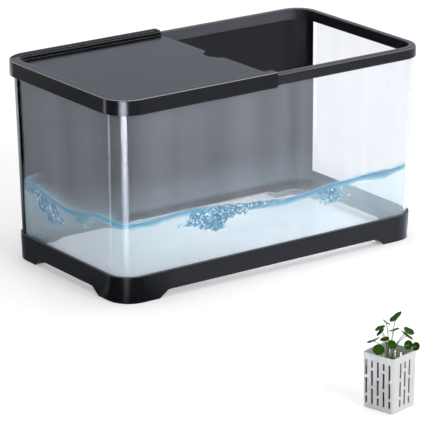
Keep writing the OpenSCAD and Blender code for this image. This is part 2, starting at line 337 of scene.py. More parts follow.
# %% Lamps
def soft_lamp(name, place, size, power):
    """A square area lamp that faces the tank."""
    lamp = bpy.data.objects.new(name, bpy.data.lights.new(name, "AREA"))
    scene.collection.objects.link(lamp)
    lamp.data.size = size
    lamp.data.energy = power
    lamp.location = place
    lamp.rotation_euler = (Vector(place) - tank_mid).to_track_quat("Z", "Y").to_euler()
    return lamp


soft_lamp("lamp front", (0.4, -2.9, 1.7), 1.6, 44)
soft_lamp("lamp above", (0.3, 0.4, 2.6), 2.0, 22)
soft_lamp("lamp right", (2.8, -0.4, 1.4), 1.2, 10)
print("three lamps")

# %% [markdown]
# ## Shapes that run round a rounded outline
# The tank, the film and the water are all rings of one outline: a rectangle with round corners. A loft
# joins ring after ring with quads, so a whole vessel is one list of rings, from the outside up over the
# lip and down the inside. A boolean of boxes would give the same walls, but not the smooth corners.

# %% Rounded outline
CORNER_STEPS = 20
SIDE_STEPS = 36
EDGE_STEPS = 24


def outline(length, width, radius, z):
    """Points of a rounded rectangle round the tank's middle, anticlockwise, starting on the right side."""
    points = []
    half = Vector((length / 2 - radius, width / 2 - radius, 0))
    signs = [(1, 1), (-1, 1), (-1, -1), (1, -1)]
    for k, (sx, sy) in enumerate(signs):
        centre = Vector((sx * half.x, sy * half.y, 0))
        for i in range(CORNER_STEPS + 1):
            a = math.radians(90 * (k + i / CORNER_STEPS))
            points.append(centre + radius * Vector((math.cos(a), math.sin(a), 0)))
        nx, ny = signs[(k + 1) % 4]
        far = Vector((nx * half.x, ny * half.y, 0))
        a = math.radians(90 * (k + 1))
        side = radius * Vector((math.cos(a), math.sin(a), 0))
        steps = SIDE_STEPS if k % 2 == 0 else EDGE_STEPS
        points += [centre.lerp(far, i / steps) + side for i in range(1, steps)]
    return [Vector((p.x + tank_mid.x, p.y + tank_mid.y, z)) for p in points]


print("outline of", len(outline(tank_len, tank_wid, CORNER, 0)), "points")

# %% Pieces from points
def new_piece(name, points, faces, material, smooth_angle=40):
    """A mesh object with that finish, shaded smooth where faces meet at less than smooth_angle."""
    mesh = bpy.data.meshes.new(name)
    mesh.from_pydata([tuple(p) for p in points], [], faces)
    mesh.validate()
    mesh.shade_smooth()
    mesh.set_sharp_from_angle(angle=math.radians(smooth_angle))
    piece = bpy.data.objects.new(name, mesh)
    scene.collection.objects.link(piece)
    mesh.materials.append(material)
    return piece


def mark_points(piece, name, values):
    """Gives every point of a piece three numbers, under a name that its finish reads."""
    attribute = piece.data.attributes.new(name, "FLOAT_VECTOR", "POINT")
    attribute.data.foreach_set("vector", np.array(values, np.float32).ravel())


def bands(rows, count):
    """Quads that join each of the rows of count points to the next, all the way round."""
    faces = []
    for k in range(rows - 1):
        for i in range(count):
            j = (i + 1) % count
            faces.append((k * count + i, k * count + j, (k + 1) * count + j, (k + 1) * count + i))
    return faces


def loft(name, rings, material):
    """A closed piece whose skin runs over all rings, with a flat face at the first and the last."""
    count = len(rings[0])
    points = [p for ring in rings for p in ring]
    faces = bands(len(rings), count)
    faces.append(tuple(reversed(range(count))))
    faces.append(tuple(range((len(rings) - 1) * count, len(rings) * count)))
    piece = new_piece(name, points, faces, material)
    print(name, len(piece.data.polygons), "faces")
    return piece


print("loft ready")

# %% [markdown]
# ## The clear tank
# Clear moulded plastic is glass-like, but it bends and mirrors light a little less. The walls have their
# real thickness, because the bright and dark lines in the corners come from light that runs between the
# two faces. Three things are added to plain glass. A faint haze on the outside, in soft upright streaks,
# greys what stands behind the front. Where the film clings to the rear wall no light is mirrored between
# them, so the film looks deep black there. Shadow rays pass, so light reaches the floor of the tank
# without slow caustics.

# %% Clear plastic
HAZE = 0.18
HAZE_SWING = 0.25
clear, tree, shader = new_material("clear plastic")
shader.inputs["Base Color"].default_value = (0.975, 0.985, 0.99, 1)
shader.inputs["Transmission Weight"].default_value = 1.0
shader.inputs["Metallic"].default_value = 0.0
shader.inputs["IOR"].default_value = 1.25
gloss = use_group(tree, marks, Scale=9.0, Low=0.0, High=0.03)
tree.links.new(gloss.outputs["Roughness"], shader.inputs["Roughness"])
where = add(tree, "ShaderNodeAttribute", attribute_name="face")
side = add(tree, "ShaderNodeSeparateXYZ")
place = add(tree, "ShaderNodeTexCoord")
stretch = add(tree, "ShaderNodeMapping")
stretch.inputs["Scale"].default_value = (30, 30, 1.2)
streaks = add(tree, "ShaderNodeTexNoise", Scale=1.0, Detail=2.0)
strength = add(tree, "ShaderNodeMapRange", From_Min=0.3, From_Max=0.7,
               To_Min=HAZE * (1 - HAZE_SWING), To_Max=HAZE * (1 + HAZE_SWING))
amount = add(tree, "ShaderNodeMath", operation="MULTIPLY")
dust = add(tree, "ShaderNodeBsdfDiffuse", Color=(0.8, 0.85, 0.98, 1))
hazy = add(tree, "ShaderNodeMixShader")
open_way = add(tree, "ShaderNodeBsdfTransparent", Color=(0.97, 0.98, 0.985, 1))
clung = add(tree, "ShaderNodeMath", operation="ADD", use_clamp=True)
ray = add(tree, "ShaderNodeLightPath")
either = add(tree, "ShaderNodeMixShader")
wire(tree, [
    (where, "Vector", side, "Vector"),
    (place, "Object", stretch, "Vector"),
    (stretch, "Vector", streaks, "Vector"),
    (streaks, "Fac", strength, "Value"),
    (strength, "Result", amount, 0),
    (side, "X", amount, 1),
    (amount, 0, hazy, "Fac"),
    (shader, "BSDF", hazy, 1),
    (dust, "BSDF", hazy, 2),
    (side, "Y", clung, 0),
    (ray, "Is Shadow Ray", clung, 1),
    (clung, 0, either, "Fac"),
    (hazy, "Shader", either, 1),
    (open_way, "BSDF", either, 2),
])
tree.links.new(either.outputs["Shader"], tree.nodes["Material Output"].inputs["Surface"])
print("finish", clear.name)

# %% Rings of the tank
FILLET_STEPS = 6


def wall_ring(z, inset):
    """Outline of the tank at height z above its underside, inset from the outer wall face."""
    lean_in = LEAN * (tank_h - z)
    return outline(tank_len - 2 * (lean_in + inset), tank_wid - 2 * (lean_in + inset),
                   CORNER - inset, tank_low.z + z)


def fillet_rings(z_low, inset, radius):
    """Rings of the rounding between a floor at z_low and a wall, from the floor up."""
    rings = []
    for i in range(FILLET_STEPS + 1):
        a = math.radians(90 * i / FILLET_STEPS)
        rings.append(wall_ring(z_low + radius * (1 - math.cos(a)), inset + radius * (1 - math.sin(a))))
    return rings


print("walls lean in by", round(LEANS_IN / MM, 1), "mm")

# %% Tank
LIP = 1.0 * MM
LIP_STEPS = 4
WALL_ROWS = [FLOOR_ROUND + 3 * MM, tank_h / 4, tank_h / 2, tank_h * 3 / 4, tank_h - 4 * MM, tank_h - 2 * MM]
outside = fillet_rings(0, 0, FLOOR_ROUND) + [wall_ring(z, 0) for z in WALL_ROWS]
lip = []
for i in range(LIP_STEPS + 1):
    a = math.radians(180 * i / LIP_STEPS)
    lip.append(wall_ring(tank_h - LIP + LIP * math.sin(a), WALL / 2 - (WALL / 2) * math.cos(a)))
inside = [wall_ring(z, WALL) for z in reversed(WALL_ROWS)]
inside += list(reversed(fillet_rings(FLOOR, WALL, FLOOR_ROUND - WALL)))
clear_tank = loft("clear_tank", outside + lip + inside, clear)
film_low, film_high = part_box("background_film")
CLING_BELOW = 20 * MM
kinds = []
for k, ring in enumerate(outside + lip + inside):
    is_outside = 1.0 if k < len(outside) else 0.0
    for p in ring:
        clings = is_outside and p.y > film_low.y and p.z > film_low.z - CLING_BELOW
        kinds.append((0.0 if clings else is_outside, 1.0 if clings else 0.0, 0.0))
mark_points(clear_tank, "face", kinds)
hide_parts("tank_body")
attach(clear_tank, "root")

# %% [markdown]
# ## Black moulded plastic
# Rim, base and cover are the same kind of plastic: nearly black, with a soft gloss that turns the flat
# tops grey where they mirror the bright surround at a low angle. The edges could be bevelled in the mesh,
# but the imported solids stay as they are, so a Bevel node rounds the shading of every edge by half a
# millimetre. Where that rounded normal points up at a slant there is an edge, and the group `Painted edge
# highlight` paints a highlight there: it makes the base colour paler, which draws the thin pale line along
# the rounded top edges of the mouldings.

# %% Group: edge line
EDGE_RISE = 0.6
EDGE_SPAN = 0.36
EDGE_CORE = 0.2
edge_highlight, start, end = new_group("Painted edge highlight", {"Radius": 0.5 * MM, "Strength": 0.5},
                                  {"Line": "NodeSocketFloat", "Normal": "NodeSocketVector"})
rounded = add(edge_highlight, "ShaderNodeBevel", samples=6)
parts = add(edge_highlight, "ShaderNodeSeparateXYZ")
offset = add(edge_highlight, "ShaderNodeMath", operation="SUBTRACT")
offset.inputs[1].default_value = EDGE_RISE
apart = add(edge_highlight, "ShaderNodeMath", operation="ABSOLUTE")
line = add(edge_highlight, "ShaderNodeMapRange", From_Min=EDGE_SPAN, From_Max=EDGE_CORE)
power = add(edge_highlight, "ShaderNodeMath", operation="MULTIPLY")
wire(edge_highlight, [
    (start, "Radius", rounded, "Radius"),
    (rounded, "Normal", parts, "Vector"),
    (parts, "Z", offset, 0),
    (offset, 0, apart, 0),
    (apart, 0, line, "Value"),
    (line, "Result", power, 0),
    (start, "Strength", power, 1),
    (power, 0, end, "Line"),
    (rounded, "Normal", end, "Normal"),
])
print("group", edge_highlight.name)

# %% Moulded plastic
TINT_SWING = (0.85, 1.18)
EDGE_HIGHLIGHT_LIFT = 0.45


def moulded_plastic(name, colour, low, high, specular, edge=0.5 * MM, line=0.35, grain_depth=0.02 * MM):
    """A Principled finish with grain, clouded gloss, rounded edges and a painted highlight, a paler line
    along them.
    """
    material, tree, shader = new_material(name)
    gloss = use_group(tree, marks, Scale=16.0, Low=low, High=high)
    pebble = use_group(tree, grain, Scale=1100.0, Softness=0.6)
    edges = use_group(tree, edge_highlight, Radius=edge, Strength=line)
    tint = add(tree, "ShaderNodeMix", data_type="RGBA")
    tint.inputs["A"].default_value = (*[c * TINT_SWING[0] for c in colour], 1)
    tint.inputs["B"].default_value = (*[c * TINT_SWING[1] for c in colour], 1)
    # Painted highlight: along the rounded edges the base colour turns paler, in place of light that the
    # edges catch.
    painted_edge_highlight = add(tree, "ShaderNodeMix", data_type="RGBA")
    painted_edge_highlight.inputs["B"].default_value = (*[min(1.0, c + EDGE_HIGHLIGHT_LIFT) for c in colour], 1)
    bump = add(tree, "ShaderNodeBump", Strength=0.2, Distance=grain_depth)
    wire(tree, [
        (gloss, "Cloud", tint, "Factor"),
        (tint, "Result", painted_edge_highlight, "A"),
        (edges, "Line", painted_edge_highlight, "Factor"),
        (painted_edge_highlight, "Result", shader, "Base Color"),
        (gloss, "Roughness", shader, "Roughness"),
        (pebble, "Height", bump, "Height"),
        (edges, "Normal", bump, "Normal"),
        (bump, "Normal", shader, "Normal"),
    ])
    shader.inputs["Specular IOR Level"].default_value = specular
    print("finish", name)
    return material


# line sets how strong the painted edge highlight is on each finish.
base_plastic = moulded_plastic("base plastic", (0.006, 0.0065, 0.0085), 0.16, 0.24, 0.14, line=0.3)
rim_plastic = moulded_plastic("rim plastic", (0.01, 0.0105, 0.013), 0.12, 0.2, 0.15, line=0.25)
cover_plastic = moulded_plastic("cover plastic", (0.006, 0.0065, 0.0085), 0.14, 0.22, 0.09, line=0.8)

# %% [markdown]
# ### Two places that shine differently
# The raised border along the rear of the cover is duller than its panel, and the rear inner face of the
# rim shows a pale grey sheen, which is painted light: its base colour is made paler there. Both could be
# separate pieces, but on the real kit each face belongs to its moulding. So the finish looks at where a
# point lies, and for the rim also at which way its face looks.

# %% Rear border of the cover
RAIL_WIDTH = 14 * MM
RAIL_DEPTH = 2.5 * MM
RAIL_ROUGHNESS = 0.55


def matt_rail(material, low_y, low_z):
    """Makes the flat top of the cover's rear border duller, behind low_y and above low_z."""
    tree = material.node_tree
    shader = tree.nodes["Principled BSDF"]
    gloss = shader.inputs["Roughness"].links[0].from_socket
    spot = add(tree, "ShaderNodeNewGeometry")
    parts = add(tree, "ShaderNodeSeparateXYZ")
    behind = add(tree, "ShaderNodeMath", operation="GREATER_THAN")
    behind.inputs[1].default_value = low_y
    above = add(tree, "ShaderNodeMath", operation="GREATER_THAN")
    above.inputs[1].default_value = low_z
    both = add(tree, "ShaderNodeMath", operation="MULTIPLY")
    either = add(tree, "ShaderNodeMix", data_type="FLOAT", B=RAIL_ROUGHNESS)
    wire(tree, [
        (spot, "Position", parts, "Vector"),
        (parts, "Y", behind, 0),
        (parts, "Z", above, 0),
        (behind, 0, both, 0),
        (above, 0, both, 1),
        (both, 0, either, "Factor"),
    ])
    tree.links.new(gloss, either.inputs["A"])
    tree.links.new(either.outputs["Result"], shader.inputs["Roughness"])


cover_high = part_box("half_cover")[1]
matt_rail(cover_plastic, cover_high.y - RAIL_WIDTH, cover_high.z - RAIL_DEPTH)
print("duller border", round(RAIL_WIDTH / MM), "mm wide")

# %% Rear inner face of the rim
# Painted sheen: the paler colour of the rim's rear inner face, in place of light that falls on it.
PAINTED_INNER_SHEEN = (0.07, 0.072, 0.082)
SIDELONG = -0.8
STRAIGHT = -1.0


def paint_inner_sheen(material, low_y, colour):
    """Paints a sheen: gives the faces behind low_y that look to the front a paler base colour."""
    tree = material.node_tree
    shader = tree.nodes["Principled BSDF"]
    under = shader.inputs["Base Color"].links[0].from_socket
    spot = add(tree, "ShaderNodeNewGeometry")
    place = add(tree, "ShaderNodeSeparateXYZ")
    facing = add(tree, "ShaderNodeSeparateXYZ")
    behind = add(tree, "ShaderNodeMath", operation="GREATER_THAN")
    behind.inputs[1].default_value = low_y
    forward = add(tree, "ShaderNodeMapRange", From_Min=SIDELONG, From_Max=STRAIGHT)
    both = add(tree, "ShaderNodeMath", operation="MULTIPLY")
    painted_sheen_mix = add(tree, "ShaderNodeMix", data_type="RGBA")
    painted_sheen_mix.inputs["B"].default_value = (*colour, 1)
    wire(tree, [
        (spot, "Position", place, "Vector"),
        (spot, "True Normal", facing, "Vector"),
        (place, "Y", behind, 0),
        (facing, "Y", forward, "Value"),
        (behind, 0, both, 0),
        (forward, "Result", both, 1),
        (both, 0, painted_sheen_mix, "Factor"),
    ])
    tree.links.new(under, painted_sheen_mix.inputs["A"])
    tree.links.new(painted_sheen_mix.outputs["Result"], shader.inputs["Base Color"])


paint_inner_sheen(rim_plastic, tank_mid.y, PAINTED_INNER_SHEEN)
print("sheen", PAINTED_INNER_SHEEN)

# %% Dress base, rim and cover
dress(nodes["base_frame"], base_plastic)
dress(nodes["top_rim"], rim_plastic)
dress(nodes["half_cover"], cover_plastic)
print("dressed base, rim and cover")

# %% [markdown]
# ## Background film
# A thin black film lies behind the rear wall and bends round both rear corners. It could be a strip cut
# from the solid, but its soft gloss would show every facet, so it is swept again as a smooth strip with
# two faces and closed edges.

# %% Film finish
film, tree, shader = new_material("black film")
shader.inputs["Base Color"].default_value = (0.005, 0.005, 0.0065, 1)
shader.inputs["Specular IOR Level"].default_value = 0.08
gloss = use_group(tree, marks, Scale=7.0, Low=0.3, High=0.42)
ripple = add(tree, "ShaderNodeTexNoise", Scale=5.0, Detail=2.0)
bump = add(tree, "ShaderNodeBump", Strength=0.15, Distance=1.5 * MM)
wire(tree, [
    (gloss, "Roughness", shader, "Roughness"),
    (ripple, "Fac", bump, "Height"),
    (bump, "Normal", shader, "Normal"),
])
print("finish", film.name)

# %% Film strip
FILM = 0.4 * MM
FILM_GAP = 0.1 * MM
FILM_ROWS = 6
TOUCH = 0.001 * MM


def film_rows(grow):
    """Rows of points behind film_low.y, from the foot up, grow outside the tank's wall."""
    rows = []
    for k in range(FILM_ROWS + 1):
        z = film_low.z + (film_high.z - film_low.z) * k / FILM_ROWS - tank_low.z
        rows.append([p for p in wall_ring(z, -grow) if p.y > film_low.y - TOUCH])
    shortest = min(len(row) for row in rows)
    return [row[(len(row) - shortest) // 2:][:shortest] for row in rows]


front_rows = film_rows(FILM_GAP)
back_rows = film_rows(FILM_GAP + FILM)
columns = min(len(front_rows[0]), len(back_rows[0]))
strip = [row[(len(row) - columns) // 2:][:columns] for row in front_rows + back_rows]
points = [p for row in strip for p in row]
half = FILM_ROWS + 1


def film_face(row_a, row_b, i, j):
    """One quad between two rows and two columns of the strip."""
    return (row_a * columns + i, row_a * columns + j, row_b * columns + j, row_b * columns + i)


faces = []
for i in range(columns - 1):
    for k in range(FILM_ROWS):
        faces.append(tuple(reversed(film_face(k, k + 1, i, i + 1))))
        faces.append(film_face(half + k, half + k + 1, i, i + 1))
    faces.append(film_face(0, half, i, i + 1))
    faces.append(tuple(reversed(film_face(FILM_ROWS, half + FILM_ROWS, i, i + 1))))
for k in range(FILM_ROWS):
    for i, flip in ((0, False), (columns - 1, True)):
        side = [row * columns + i for row in (k, k + 1, half + k + 1, half + k)]
        faces.append(tuple(reversed(side) if flip else side))
rear_film = new_piece("rear_film", points, faces, film)
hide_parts("background_film")
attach(rear_film, "root")
print("rear_film", columns, "columns")

# %% [markdown]
# ## Planting basket and sponge
# The basket is satin pale plastic, so it gets the same grain as the black pieces with a wide, soft gloss.
# The sponge is dark and open-celled. Its cells could be cut into the mesh, but a cell pattern as colour
# and bump is enough, because the sponge is only seen through slots.

# %% Basket and sponge finishes
# The basket gets the same painted highlight along its edges.
basket_plastic = moulded_plastic("basket plastic", (0.68, 0.68, 0.68), 0.4, 0.5, 0.3,
                                 edge=0.3 * MM, line=0.4, grain_depth=0.04 * MM)
dress(nodes["planting_basket"], basket_plastic)

sponge, tree, shader = new_material("dark sponge")
cells = add(tree, "ShaderNodeTexVoronoi", Scale=700.0)
shade = add(tree, "ShaderNodeMix", data_type="RGBA")
shade.inputs["A"].default_value = (0.006, 0.005, 0.005, 1)
shade.inputs["B"].default_value = (0.05, 0.045, 0.04, 1)
bump = add(tree, "ShaderNodeBump", Strength=0.8, Distance=0.8 * MM)
place = add(tree, "ShaderNodeTexCoord")
wire(tree, [
    (place, "Object", cells, "Vector"),
    (cells, "Distance", shade, "Factor"),
    (cells, "Distance", bump, "Height"),
    (shade, "Result", shader, "Base Color"),
    (bump, "Normal", shader, "Normal"),
])
shader.inputs["Roughness"].default_value = 0.95
dress(nodes["planting_sponge"], sponge)
print("finish", sponge.name)

# %% [markdown]
# ## Leaves and stems
# Each leaf is a shallow dish with a scalloped edge and veins that run from the stem to the edge. A flat
# disc with painted veins would do from afar, but it would catch no light on its edge. The blade is a
# polar grid, so a vertex knows how far out it is and on which vein it lies. That is stored as a vertex
# attribute, and the shader paints the veins from it.

# %% Leaf finish
leaf_green, tree, shader = new_material("leaf green")
where = add(tree, "ShaderNodeAttribute", attribute_name="blade")
split = add(tree, "ShaderNodeSeparateXYZ")
vein_colour = add(tree, "ShaderNodeMix", data_type="RGBA")
vein_colour.inputs["A"].default_value = (0.018, 0.085, 0.0005, 1)
vein_colour.inputs["B"].default_value = (0.085, 0.24, 0.003, 1)
mottle = add(tree, "ShaderNodeTexNoise", Scale=260.0, Detail=4.0)
patch = add(tree, "ShaderNodeMix", data_type="RGBA", blend_type="MULTIPLY")
patch.inputs["Factor"].default_value = 0.6
bump = add(tree, "ShaderNodeBump", Strength=0.5, Distance=0.4 * MM)
wire(tree, [
    (where, "Vector", split, "Vector"),
    (split, "Y", vein_colour, "Factor"),
    (vein_colour, "Result", patch, "A"),
    (mottle, "Color", patch, "B"),
    (patch, "Result", shader, "Base Color"),
    (split, "Y", bump, "Height"),
    (bump, "Normal", shader, "Normal"),
])
shader.inputs["Roughness"].default_value = 0.42
shader.inputs["Specular IOR Level"].default_value = 0.05
shader.inputs["Subsurface Weight"].default_value = 0.08
shader.inputs["Subsurface Radius"].default_value = (1 * MM, 2 * MM, 0.5 * MM)
print("finish", leaf_green.name)

# %% Stem finish
stem_green, tree, shader = new_material("stem green")
tint = add(tree, "ShaderNodeMix", data_type="RGBA")
tint.inputs["A"].default_value = (0.09, 0.17, 0.04, 1)
tint.inputs["B"].default_value = (0.3, 0.38, 0.2, 1)
streak = add(tree, "ShaderNodeTexNoise", Scale=90.0)
tree.links.new(streak.outputs["Fac"], tint.inputs["Factor"])
tree.links.new(tint.outputs["Result"], shader.inputs["Base Color"])
shader.inputs["Roughness"].default_value = 0.45
print("finish", stem_green.name)

# %% [markdown]
# ### Where the leaves stand
# The leaves stand where the solid plant has them, so this table repeats the one that the solid was made
# from. Scattering them at random would be quicker, but then no leaf would match the photograph.

# %% Leaf table
# Direction from the basket's middle, distance, height above its top, radius, then the direction and the
# angle of the blade's tilt. Degrees and hundredths of the basket's width, in its own turned frame.
BASKET_TURN = 14
BASKET_W = 37 * MM
LEAF_UNIT = BASKET_W / 100
LEAVES = [
    (181, 47, 15, 15, 217, 46), (237, 16, 21, 13, 254, 40), (301, 48, 18, 12, 189, 67),
    (308, 67, 12, 11, 187, 67), (335, 53, 43, 15, 281, 29), (12, 38, 77, 19, 134, 39),
    (101, 27, 54, 14, 129, 23), (114, 24, 46, 13, 133, 46), (151, 14, 31, 12, 163, 13),
    (51, 41, 60, 12, 326, 36), (21, 37, 41, 15, 84, 21), (325, 44, 35, 19, 325, 39),
    (116, 41, 22, 19, 98, 29),
]
turned = Matrix.Translation((basket_mid.x, basket_mid.y, 0))
turned = turned @ Matrix.Rotation(math.radians(BASKET_TURN), 4, "Z")
print(len(LEAVES), "leaves")

# %% Leaf blades
BLADE_RINGS = 8
BLADE_SPOKES = 54
BLADE_THICK = 0.4 * MM
VEINS = 9
EDGE_THINNING = 0.55
SCALLOP = 0.035
SCALLOP_IN = 0.02
DISH = 0.18
DISH_CURVE = 1.6
VEIN_DEPTH = 0.12 * MM
VEIN_FADE = 0.35
HUB_FADE = 5
# Share of the radius, waves round the edge, and how the leaf's number shifts them
EDGE_WAVES = [(0.05, 2, 1), (0.03, 5, 2)]


def leaf_blade(radius, seed):
    """Points, faces and blade attribute of one dished leaf about the origin, its top facing +Z."""
    points, veins, faces = [], [], []
    for side in (1, -1):
        for k in range(BLADE_RINGS + 1):
            out = k / BLADE_RINGS
            for i in range(BLADE_SPOKES):
                a = 2 * math.pi * i / BLADE_SPOKES
                scallop = 1 + SCALLOP * out ** 3 * abs(math.cos(VEINS * a / 2)) - SCALLOP_IN * out ** 3
                wave = sum(h * out ** 2 * math.sin(n * a + s * seed) for h, n, s in EDGE_WAVES)
                vein = max(0, math.cos(VEINS * a)) ** 6 * (1 - VEIN_FADE * out)
                hub = max(0, 1 - HUB_FADE * out)
                r = radius * out * scallop
                z = radius * (DISH * out ** DISH_CURVE + wave) - VEIN_DEPTH * vein * out
                thick = BLADE_THICK / 2 * (1 - EDGE_THINNING * out ** 4)
                points.append(Vector((r * math.cos(a), r * math.sin(a), z + side * thick)))
                veins.append((out, max(vein, hub), 0))
    half_count = (BLADE_RINGS + 1) * BLADE_SPOKES
    for top in (0, 1):
        for k in range(BLADE_RINGS):
            for i in range(BLADE_SPOKES):
                j = (i + 1) % BLADE_SPOKES
                quad = [top * half_count + row * BLADE_SPOKES + col
                        for row, col in ((k, i), (k + 1, i), (k + 1, j), (k, j))]
                faces.append(tuple(quad if top == 0 else reversed(quad)))
    rim = BLADE_RINGS * BLADE_SPOKES
    for i in range(BLADE_SPOKES):
        j = (i + 1) % BLADE_SPOKES
        faces.append((rim + i, half_count + rim + i, half_count + rim + j, rim + j))
    return points, faces, veins


def leaf_place(entry):
    """Middle of a leaf in the basket's frame, and the matrix that sets its blade there."""
    direction, distance, height, radius, tilt_to, tilt = entry
    a = math.radians(direction)
    reach = distance * LEAF_UNIT
    spot = Vector((reach * math.cos(a), reach * math.sin(a), basket_high.z + height * LEAF_UNIT))
    turn = Matrix.Rotation(math.radians(tilt_to), 4, "Z") @ Matrix.Rotation(math.radians(tilt), 4, "Y")
    return spot, turned @ Matrix.Translation(spot) @ turn


def join(parts):
    """Points and faces of several parts as one; a part is its points, its faces and its matrix."""
    all_points, all_faces = [], []
    for points, faces, matrix in parts:
        offset = len(all_points)
        all_points += [matrix @ p for p in points]
        all_faces += [tuple(offset + i for i in face) for face in faces]
    return all_points, all_faces


print("blade of", 2 * (BLADE_RINGS + 1) * BLADE_SPOKES, "points")

# %% Leaves
SEED_STEP = 1.7
MERGE = 0.02 * MM
parts, all_veins = [], []
for n, entry in enumerate(LEAVES):
    spot, matrix = leaf_place(entry)
    points, faces, veins = leaf_blade(entry[3] * LEAF_UNIT, SEED_STEP * n)
    parts.append((points, faces, matrix))
    all_veins += veins
leaves = new_piece("leaves", *join(parts), leaf_green, smooth_angle=60)
mark_points(leaves, "blade", all_veins)
work = bmesh.new()
work.from_mesh(leaves.data)
bmesh.ops.remove_doubles(work, verts=work.verts, dist=MERGE)
work.to_mesh(leaves.data)
work.free()
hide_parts("plant")
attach(leaves, "root")
print("leaves", len(leaves.data.polygons), "faces")

# %% [markdown]
# ### Stems and crown
# A stem rises steeply from the crown and bends out to the middle of its leaf. A Bezier curve with a bevel
# would draw it too, but a tube from a short formula tapers as real stems do and is a mesh at once. The
# crown is a low knotted mound on the sponge.

# %% Stem
STEM_R = 0.55 * MM
STEM_RINGS = 18
STEM_SIDES = 10
STEM_TAPER = 0.4
BEND_OUT = 0.25
BEND_UP = 0.8
ACROSS = Vector((0.31, 0.95, 0.0))


def stem_tube(foot, tip):
    """Points and faces of one bent, tapering stem with closed ends."""
    bend = Vector((tip.x * BEND_OUT, tip.y * BEND_OUT, foot.z + (tip.z - foot.z) * BEND_UP))
    points = []
    for k in range(STEM_RINGS + 1):
        t = k / STEM_RINGS
        middle = (1 - t) ** 2 * foot + 2 * t * (1 - t) * bend + t * t * tip
        ahead = (2 * (1 - t) * (bend - foot) + 2 * t * (tip - bend)).normalized()
        side = ahead.cross(ACROSS).normalized()
        other = ahead.cross(side)
        radius = STEM_R * (1 - STEM_TAPER * t)
        for i in range(STEM_SIDES):
            a = 2 * math.pi * i / STEM_SIDES
            points.append(middle + radius * (math.cos(a) * side + math.sin(a) * other))
    faces = bands(STEM_RINGS + 1, STEM_SIDES)
    faces.append(tuple(reversed(range(STEM_SIDES))))
    faces.append(tuple(range(STEM_RINGS * STEM_SIDES, (STEM_RINGS + 1) * STEM_SIDES)))
    return points, faces


print("stem of", (STEM_RINGS + 1) * STEM_SIDES, "points")

# %% Crown
SPONGE_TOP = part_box("planting_sponge")[1].z
CROWN_H = 3 * MM
CROWN_R = 3.25 * MM
CROWN_ROWS = 6
CROWN_SPOKES = 20
CROWN_KNOTS = 5
KNOT_HEIGHT = 0.2 * MM


def crown_mound():
    """Points and faces of the low knotted crown on the sponge."""
    points = []
    for k in range(CROWN_ROWS + 1):
        rise = math.radians(90 * k / CROWN_ROWS)
        z = SPONGE_TOP + CROWN_H * math.sin(rise)
        for i in range(CROWN_SPOKES):
            a = 2 * math.pi * i / CROWN_SPOKES
            out = math.cos(rise) * (CROWN_R + KNOT_HEIGHT * math.cos(CROWN_KNOTS * a))
            points.append(Vector((out * math.cos(a), out * math.sin(a), z)))
    faces = bands(CROWN_ROWS + 1, CROWN_SPOKES)
    faces.append(tuple(reversed(range(CROWN_SPOKES))))
    return points, faces


print("crown on the sponge,", round(SPONGE_TOP / MM, 1), "mm above the floor")

# %% Stems on their crown
FOOT_SPREAD = 0.4 * CROWN_R
parts = [(*crown_mound(), turned)]
for entry in LEAVES:
    a = math.radians(entry[0])
    spot, matrix = leaf_place(entry)
    foot = Vector((FOOT_SPREAD * math.cos(a), FOOT_SPREAD * math.sin(a), SPONGE_TOP + CROWN_H / 2))
    parts.append((*stem_tube(foot, spot), turned))
stems = new_piece("stems", *join(parts), stem_green)
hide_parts("plant")
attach(stems, "root")
print("stems", len(stems.data.polygons), "faces")

# %% [markdown]
# ## Water
# The tank is shown in use, with water to a little over a third of its height and a rolling surface. The
# water could be a solid that bends light, but then its surface would mirror the film and hide the far
# wall, which the picture shows. So it is a thin skin: pale blue on the near sides with a deep blue band
# at the water line, and nearly clear on top and at the rear. Its vertices carry how blue, how dense and
# how stirred the water is there. Where it is stirred, one noise gives the splash its ragged outline, and
# a finer one fills it with white curls and dark hollows.

# %% Water finish
SPLASH_DENSITY = 0.92
water_look, tree, shader = new_material("water")
where = add(tree, "ShaderNodeAttribute", attribute_name="shore")
split = add(tree, "ShaderNodeSeparateXYZ")
place = add(tree, "ShaderNodeTexCoord")
froth = add(tree, "ShaderNodeTexNoise", Scale=95.0, Detail=6.0, Roughness=0.65, Distortion=1.0)
stirred = add(tree, "ShaderNodeMath", operation="ADD")
torn = add(tree, "ShaderNodeMapRange", From_Min=0.84, From_Max=0.92)
# Painted light in the splash: where this finer noise is high, a painted highlight turns the colour white.
# Where it is low, painted shade darkens the hollows.
curls = add(tree, "ShaderNodeTexNoise", Scale=160.0, Detail=4.0, Roughness=0.7, Distortion=2.5)
painted_glint = add(tree, "ShaderNodeMapRange", From_Min=0.57, From_Max=0.6)
hollow = add(tree, "ShaderNodeMapRange", From_Min=0.455, From_Max=0.42)
pale = add(tree, "ShaderNodeMath", operation="MULTIPLY")
dark = add(tree, "ShaderNodeMath", operation="MULTIPLY")
blue = add(tree, "ShaderNodeMath", operation="ADD", use_clamp=True)
tint = add(tree, "ShaderNodeMix", data_type="RGBA")
tint.inputs["A"].default_value = (0.5, 0.73, 0.76, 1)
tint.inputs["B"].default_value = (0.0, 0.2, 0.31, 1)
# Colour of the painted highlights in the splash.
lit = add(tree, "ShaderNodeMix", data_type="RGBA")
lit.inputs["B"].default_value = (0.92, 0.98, 1.0, 1)
